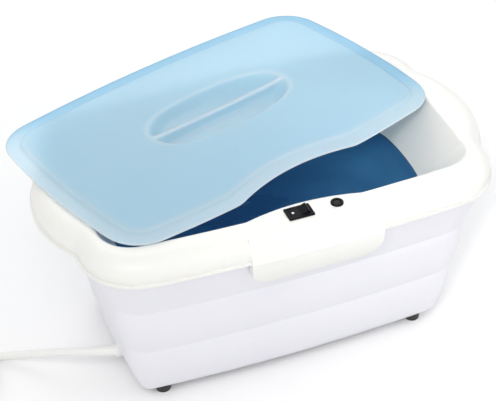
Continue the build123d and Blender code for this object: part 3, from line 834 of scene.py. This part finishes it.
    def painted_edge_highlight_and_shade(self, place: Vector) -> float:
        """Painted highlight and painted shade at a point of the upper surface.

        Plain parts are at 0.5. Near edges, the brow, the bar and the pockets' brink are paler with painted
        highlight, and far edges are deeper in colour with painted shade.

        Args:
            place: the point in the lid's own frame, in millimetres.

        Returns:
            A number from 0 to 1.
        """
        # nearness is 1 on the near sides, which get painted highlight, and 0 on the far sides, which get
        # painted shade.
        nearness = smooth_step((self.half_length * 0.25 - place.x * 0.55 - place.y) / 60)
        edge = 1 - smooth_step((place.z - 0.36) / 0.12)
        band = 1 - smooth_step((place.z - 0.56) / 0.8)
        brow = max(0.0, 1 - abs(place.z - self.face - 0.6 * self.brow_rise) / (0.5 * self.brow_rise))
        bar = 1 - smooth_step((abs(place.y) - 1.0) / 2.6)
        share = self.oval(place.x - self.grip_shift, place.y)
        brink = max(0.0, 1 - abs(share - 0.98) / 0.06)
        height = smooth_step((place.z - self.crown_rise + 2.5) / 1.5)
        # ridge: painted highlight along the bar's top and the pockets' brink.
        ridge = height * max(bar * (share < 0.95), 0.6 * brink)
        pale = max(edge, 0.4 * band, 0.6 * brow) * nearness
        deep = max(edge, 0.4 * band) * (1 - nearness)
        return 0.5 + 0.5 * max(pale, 0.7 * ridge) - 0.5 * deep

    def surface(self) -> bmesh.types.BMesh:
        """The whole upper surface in the lid's own frame, in millimetres.

        Returns:
            The open surface, its pockets filled in by columns across the grip.
        """
        rings = self.top_rings()
        shell = bmesh.new()
        loops = [[shell.verts.new(point) for point in ring] for ring in rings]
        for outer, inner in zip(loops, loops[1:]):
            for index in range(len(outer)):
                after = (index + 1) % len(outer)
                shell.faces.new((outer[index], outer[after], inner[after], inner[index]))
        rim = loops[-1]
        count = len(rim)
        previous = [rim[0]]
        for column in range(1, count // 2):
            top, bottom = rim[column], rim[count - column]
            rows = [
                shell.verts.new((top.co.x, y, self.pocket_height(top.co.x, y)))
                for y in self.grip_rows(top.co.y)
            ]
            line = [top, *rows, bottom]
            if len(previous) == 1:
                for first, second in zip(line, line[1:]):
                    shell.faces.new((previous[0], first, second))
            else:
                for a, b, c, d in zip(previous, previous[1:], line[1:], line):
                    shell.faces.new((a, b, c, d))
            previous = line
        tip = rim[count // 2]
        for first, second in zip(previous, previous[1:]):
            shell.faces.new((first, second, tip))
        return shell

    def build(self) -> bpy.types.Object:
        """Mesh, thicken, place and dress the lid.

        Returns:
            The lid.
        """
        shell = self.surface()
        # Store the painted highlight and shade on every point before the surface is lifted.
        light = shell.verts.layers.float.new("painted_edge_highlight_and_shade")
        for vertex in shell.verts:
            vertex[light] = self.painted_edge_highlight_and_shade(vertex.co)
            vertex.co.z += self.wall - self.face
        turned = Matrix.Rotation(math.radians(self.turn), 4, "Z")
        shell.transform(Matrix.Translation(Vector(self.centre) * MM) @ turned @ Matrix.Scale(MM, 4))
        lid = make_piece("frosted_lid", finished(shell, "frosted_lid"), LID, Body.LID)
        solid = lid.modifiers.new("wall", "SOLIDIFY")
        solid.thickness = (self.wall - self.face) * MM
        solid.offset = -1.0
        apply_modifiers(lid)
        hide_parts("lid")
        return lid


# Tub -------------------------------------------------------------------------


@dataclass
class Tub:
    """Outer housing, bezel, base plate, feet and their screws."""

    feet: tuple[str, ...] = ("foot_left_front", "foot_left_back", "foot_right_front", "foot_right_back")
    screws: tuple[str, ...] = ("foot_screws", "base_plate_screws", "bezel_screws", "tank_screws")

    def dress(self) -> None:
        """Give every part of the tub its finish."""
        dress("outer_housing", HOUSING)
        dress("top_bezel", BEZEL)
        dress("base_plate", BASE)
        for foot in self.feet:
            dress(foot, FOOT)
        for screw in self.screws:
            dress(screw, STEEL)


@dataclass
class Heating:
    """Tank, its seal, and the hidden heater, thermostat, cut-out and insulation."""

    def dress(self) -> None:
        """Give every part of the heating its finish."""
        finishes = {
            "wax_tank": TANK,
            "tank_seal": SEAL,
            "heating_pad": HEATER,
            "heater_clamp_plate": STEEL,
            "heater_clamp_nuts": STEEL,
            "thermostat": PHENOLIC,
            "thermostat_strap": STEEL,
            "thermal_cutoff": CERAMIC,
            "insulation_blanket": FELT,
            "terminal_block": NYLON,
            "terminal_screws": BRASS,
        }
        for node, finish in finishes.items():
            dress(node, finish)


@dataclass
class ControlPanel:
    """Rocker switch with its white dot, and the indicator lamp."""

    dot_centre: tuple[float, float] = (-0.0100, -0.0988)
    dot_radius: float = 1.15 * MM
    dot_lift: float = 0.06 * MM
    dot_steps: int = 24

    def dress(self) -> None:
        """Give the switch and the lamp their finishes."""
        for node in ("switch_frame", "switch_rocker", "lamp_body", "lamp_ring_nut"):
            dress(node, SWITCH)
        dress("rocker_pin", STEEL)
        dress("switch_terminals", BRASS)
        dress("lamp_lens", LENS)
        dress("lamp_bulb", BULB)

    def above(self, x: float, y: float) -> Point:
        """A point just above the rocker's face.

        Args:
            x: the point's place along the tub, in metres.
            y: its place across the tub, in metres.

        Returns:
            The point.
        """
        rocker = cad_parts["switch_rocker"]
        back = rocker.matrix_world.inverted()
        start = back @ Vector((x, y, 0.3))
        hit, spot, normal, _ = rocker.ray_cast(start, back @ Vector((x, y, 0.0)) - start)
        if not hit:
            raise RuntimeError("the dot lies off the rocker")
        return tuple(rocker.matrix_world @ (spot + normal * self.dot_lift))

    def dot(self) -> bpy.types.Object:
        """The dot printed on the rocker's raised half.

        Returns:
            The dot.
        """
        shell = bmesh.new()
        x, y = self.dot_centre
        ring = []
        for step in range(self.dot_steps):
            angle = 2 * math.pi * step / self.dot_steps
            spot = self.above(x + self.dot_radius * math.cos(angle), y + self.dot_radius * math.sin(angle))
            ring.append(shell.verts.new(spot))
        shell.faces.new(ring)
        return make_piece("rocker_dot", finished(shell, "rocker_dot"), MARK, Body.ROCKER)


# Mains lead ------------------------------------------------------------------


@dataclass
class MainsLead:
    """Free power cord: out through the gland, down, across the surface and into a coil."""

    radius: float = 3.5 * MM
    coil_outer: float = 42.0 * MM
    coil_inner: float = 35.0 * MM
    coil_slots: tuple[tuple[int, int], ...] = (
        (1, 0), (0, 0), (0, 1), (0, 2), (0, 3), (1, 3), (1, 2), (1, 1)
    )
    points_per_turn: int = 24
    lap: float = math.radians(45.0)
    tail: float = 30.0 * MM
    plug_boot: float = 22.0 * MM
    plug_body: float = 34.0 * MM
    plug_half_width: float = 13.0 * MM
    plug_half_height: float = 10.5 * MM
    plug_profile: tuple[tuple[float, float, float, float], ...] = (
        (0.0, 0.62, 0.62, 2.6), (0.06, 0.8, 0.8, 3.2), (0.2, 0.94, 0.9, 3.6), (0.38, 0.88, 0.84, 3.8),
        (0.55, 0.84, 0.82, 4.0), (0.7, 0.92, 0.92, 4.2), (0.8, 1.0, 1.0, 4.6), (0.96, 1.0, 1.0, 4.8),
        (0.995, 0.97, 0.97, 4.8), (1.0, 0.92, 0.92, 4.8),
    )
    boot_ribs: int = 5
    boot_tip_radius: float = 4.4 * MM
    boot_growth: float = 0.45 * MM
    rib_swell: float = 0.9 * MM
    rib_profile: tuple[tuple[float, bool], ...] = ((0.05, False), (0.2, True), (0.6, True), (0.75, False))
    route: tuple[Point, ...] = (
        (-0.137, -0.029, 0.022),
        (-0.149, -0.029, 0.022),
        (-0.1715, -0.022, 0.0222),
        (-0.194, -0.0085, 0.0185),
        (-0.217, 0.008, 0.0095),
        (-0.243, 0.022, 0.004),
        (-0.2735, 0.0294, 0.0035),
        (-0.304, 0.030, 0.0035),
    )

    def slot_place(self, slot: tuple[int, int]) -> tuple[float, float]:
        """Radius and height of one turn's place in the coil.

        Args:
            slot: column, 0 inside and 1 outside, and row from the bottom.

        Returns:
            The turn's radius and height.
        """
        column, row = slot
        return (self.coil_inner, self.coil_outer)[column], self.radius * (1 + 2 * row)

    def coil(self) -> list[Point]:
        """The coil's turns, each moving over to the next place a lap earlier than the one before.

        Returns:
            The turns' points.
        """
        centre_x, centre_y = self.route[-1][0], self.route[-1][1] - self.coil_outer
        turns = len(self.coil_slots) - 1
        total = turns * self.points_per_turn
        stretch = 1 / math.cos(math.pi / self.points_per_turn)
        points = []
        for index in range(1, total + 1):
            angle = 2 * math.pi * index / self.points_per_turn
            radius, height = self.slot_place(self.coil_slots[0])
            for turn in range(1, turns + 1):
                start = 2 * math.pi * turn - turn * self.lap
                share = smooth_step((angle - start) / self.lap)
                old_radius, old_height = self.slot_place(self.coil_slots[turn - 1])
                new_radius, new_height = self.slot_place(self.coil_slots[turn])
                radius += (new_radius - old_radius) * share
                height += (new_height - old_height) * share
            reach = radius * stretch
            points.append((
                centre_x - reach * math.sin(angle),
                centre_y + reach * math.cos(angle),
                height,
            ))
        return points

    def path(self) -> list[Point]:
        """All control points of the cord, from inside the gland to the plug's boot.

        Returns:
            The points.
        """
        coil = self.coil()
        last = coil[-1]
        end = [(last[0] - self.tail * share, self.route[-1][1], last[2]) for share in (0.35, 0.75, 1.05)]
        return [*self.route, *coil[:-1], (last[0], self.route[-1][1], last[2]), *end]

    def cord(self) -> bpy.types.Object:
        """The cord as one smooth curve.

        Returns:
            The curve object.
        """
        points = self.path()
        curve = bpy.data.curves.new("mains_cord", "CURVE")
        curve.dimensions = "3D"
        spline = curve.splines.new("NURBS")
        spline.points.add(len(points) - 1)
        for control, point in zip(spline.points, points):
            control.co = (*point, 1.0)
        spline.order_u = 3
        spline.use_endpoint_u = True
        spline.resolution_u = 6
        curve.bevel_depth = self.radius
        curve.bevel_resolution = 5
        curve.use_fill_caps = True
        curve.materials.append(SHEATH.material())
        cord = bpy.data.objects.new("mains_cord", curve)
        bpy.context.scene.collection.objects.link(cord)
        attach(cord, Body.TUB.value)
        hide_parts("power_cord", "cord_coil", "cord_tail")
        LOG.info("cord: %d control points", len(points))
        return cord

    def plug_section(
        self, x: float, half_width: float, half_height: float, squareness: float = 2.0
    ) -> list[Point]:
        """One rounded section across the plug.

        Args:
            x: place along the plug.
            half_width: half the section's width.
            half_height: half its height.
            squareness: 2 for an ellipse, more for a rounder box.

        Returns:
            Points round the section.
        """
        middle_y = self.route[-1][1]
        middle_z = self.slot_place(self.coil_slots[-1])[1]
        count = 40
        points = []
        for step in range(count):
            angle = 2 * math.pi * step / count
            cosine, sine = math.cos(angle), math.sin(angle)
            y = half_width * math.copysign(abs(cosine) ** (2 / squareness), cosine)
            z = half_height * math.copysign(abs(sine) ** (2 / squareness), sine)
            points.append((x, middle_y + y, middle_z + z))
        return points

    def plug(self) -> bpy.types.Object:
        """Moulded plug: ribbed boot, waisted grip and flat face.

        Returns:
            The plug.
        """
        start = self.route[-1][0] - 2.0 * MM - self.tail
        rings = [self.plug_section(start + 0.5 * MM, 3.6 * MM, 3.6 * MM)]
        for rib in range(self.boot_ribs):
            for share, swollen in self.rib_profile:
                x = start - self.plug_boot * (rib + share) / self.boot_ribs
                size = self.boot_tip_radius + self.boot_growth * rib + self.rib_swell * swollen
                rings.append(self.plug_section(x, size, size))
        body = start - self.plug_boot
        for share, wide, high, squareness in self.plug_profile:
            half_width, half_height = self.plug_half_width * wide, self.plug_half_height * high
            rings.append(self.plug_section(body - self.plug_body * share, half_width, half_height, squareness))
        mesh = rings_mesh("moulded_plug", rings, (True, True))
        plug = make_piece("moulded_plug", mesh, PLUG, Body.TUB)
        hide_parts("mains_plug")
        return plug

    def build(self) -> None:
        """Build the cord and its plug, and dress the gland and the pins."""
        dress("cord_gland", SHEATH)
        dress("plug_pins", BRASS)
        cord = self.cord()
        plug = self.plug()


# Studio ----------------------------------------------------------------------


@dataclass(frozen=True)
class Lamp:
    """One soft square area light; places in metres, power in watts, spread in degrees."""

    name: str
    place: Point
    aim: Point
    side: float
    power: float
    colour: Colour
    spread: float = 180.0

    def hang(self) -> None:
        """Put the light in the scene, facing its aim."""
        data = bpy.data.lights.new(self.name, "AREA")
        data.size = self.side
        data.energy = self.power
        data.color = self.colour
        data.spread = math.radians(self.spread)
        lamp = bpy.data.objects.new(self.name, data)
        bpy.context.scene.collection.objects.link(lamp)
        lamp.location = self.place
        lamp.rotation_euler = (Vector(self.place) - Vector(self.aim)).to_track_quat("Z", "Y").to_euler()


@dataclass
class Studio:
    """Pale floor, soft light and the camera."""

    azimuth: float = -20.085
    elevation: float = 37.504
    roll: float = -1.745
    distance: float = 1.29324
    target: Point = (-0.00856, 0.00818, 0.11775)
    lens: float = 107.21
    sky: float = 0.75
    lamps: tuple[Lamp, ...] = (
        Lamp("key", (-0.9, -1.3, 1.9), (0.0, 0.0, 0.1), 1.4, 18.0, (1.0, 0.99, 0.97)),
        Lamp("fill", (1.6, -0.9, 1.1), (0.0, 0.0, 0.1), 1.6, 7.0, (0.96, 0.97, 1.0)),
        Lamp("back", (0.3, 1.9, 1.5), (0.0, 0.0, 0.1), 1.4, 9.5, (1.0, 1.0, 1.0)),
        Lamp("well", (-0.45, -0.85, 0.95), (0.15, -0.02, 0.16), 0.25, 0.09, (1.0, 0.99, 0.97), 18.0),
    )

    def camera(self) -> None:
        """Place the camera by its turn and rise about the target."""
        turn, rise, tip = (math.radians(a) for a in (self.azimuth, self.elevation, self.roll))
        right = Vector((math.cos(turn), math.sin(turn), 0.0))
        back = Vector((math.sin(turn) * math.cos(rise), -math.cos(turn) * math.cos(rise), math.sin(rise)))
        up = back.cross(right)
        across = right * math.cos(tip) + up * math.sin(tip)
        upward = up * math.cos(tip) - right * math.sin(tip)
        data = bpy.data.cameras.new("camera")
        data.lens = self.lens
        data.sensor_width = 36.0
        data.clip_start = 0.05
        data.clip_end = 20.0
        camera = bpy.data.objects.new("camera", data)
        bpy.context.scene.collection.objects.link(camera)
        facing = Matrix((across, upward, back)).transposed().to_4x4()
        camera.matrix_world = Matrix.Translation(Vector(self.target) + back * self.distance) @ facing
        bpy.context.scene.camera = camera

    def floor(self) -> None:
        """Lay the plain pale floor."""
        shell = bmesh.new()
        bmesh.ops.create_grid(shell, x_segments=8, y_segments=8, size=4.0)
        mesh = finished(shell, "floor")
        sheet = NodeSheet("pale_floor")
        sheet.set(Base_Color=(0.93, 0.93, 0.935), Roughness=0.9, Specular_IOR_Level=0.1)
        mesh.materials.append(sheet.material)
        floor = bpy.data.objects.new("floor", mesh)
        bpy.context.scene.collection.objects.link(floor)

    def build(self) -> None:
        """Build the studio."""
        self.camera()
        self.floor()
        for lamp in self.lamps:
            lamp.hang()
        world = bpy.data.worlds.new("studio")
        world.use_nodes = True
        background = world.node_tree.nodes["Background"]
        background.inputs["Color"].default_value = (1.0, 1.0, 1.0, 1.0)
        background.inputs["Strength"].default_value = self.sky
        bpy.context.scene.world = world
        bpy.context.scene.view_settings.view_transform = "Standard"


def main() -> None:
    """Build the bath's looks in order, then its studio."""
    Tub().dress()
    Heating().dress()
    panel = ControlPanel()
    panel.dress()
    panel.dot()
    Lid().build()
    MainsLead().build()
    Studio().build()
    LOG.info("sizes written")


if __name__ == "__main__":
    logging.basicConfig(level=logging.INFO, format="%(name)s: %(message)s")
    main()
